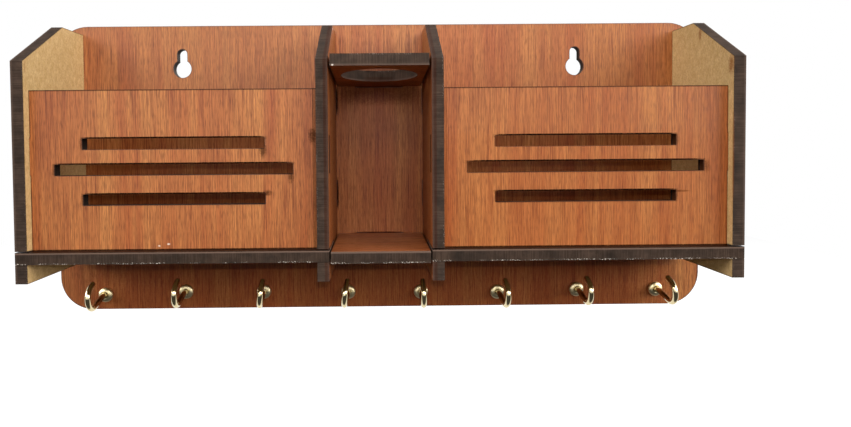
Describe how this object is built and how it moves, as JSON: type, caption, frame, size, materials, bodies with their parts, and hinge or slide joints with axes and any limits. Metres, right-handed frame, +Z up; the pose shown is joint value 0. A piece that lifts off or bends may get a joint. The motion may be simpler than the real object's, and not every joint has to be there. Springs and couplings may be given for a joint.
{
  "type": "wall key holder",
  "caption": "Wall-hung board organiser: slotted letter pockets at both sides, an open middle box under a plate with a round pen hole, shelves, keyholes and brass key hooks below.",
  "frame": {"origin": "centre of the back panel's rear face, on the wall", "axes": "+X to the right as seen from the front, +Y into the wall, +Z up"},
  "size_m": [0.3, 0.0593, 0.132],
  "materials": {
    "laminated_board": "satin wood-grain laminate on one side",
    "brass_wire": "polished plate",
    "brass_collar": "polished plate"
  },
  "bodies": {
    "root": {"back_panel": "laminated_board", "left_end_panel": "laminated_board", "right_end_panel": "laminated_board", "left_divider": "laminated_board", "right_divider": "laminated_board", "left_pocket_front": "laminated_board", "right_pocket_front": "laminated_board", "left_shelf": "laminated_board", "right_shelf": "laminated_board", "middle_floor": "laminated_board", "pen_ring_plate": "laminated_board", "key_hook_1": "brass_wire", "key_hook_2": "brass_wire", "key_hook_3": "brass_wire", "key_hook_4": "brass_wire", "key_hook_5": "brass_wire", "key_hook_6": "brass_wire", "key_hook_7": "brass_wire", "key_hook_8": "brass_wire", "hook_collar_1": "brass_collar", "hook_collar_2": "brass_collar", "hook_collar_3": "brass_collar", "hook_collar_4": "brass_collar", "hook_collar_5": "brass_collar", "hook_collar_6": "brass_collar", "hook_collar_7": "brass_collar", "hook_collar_8": "brass_collar"}
  },
  "joints": []
}
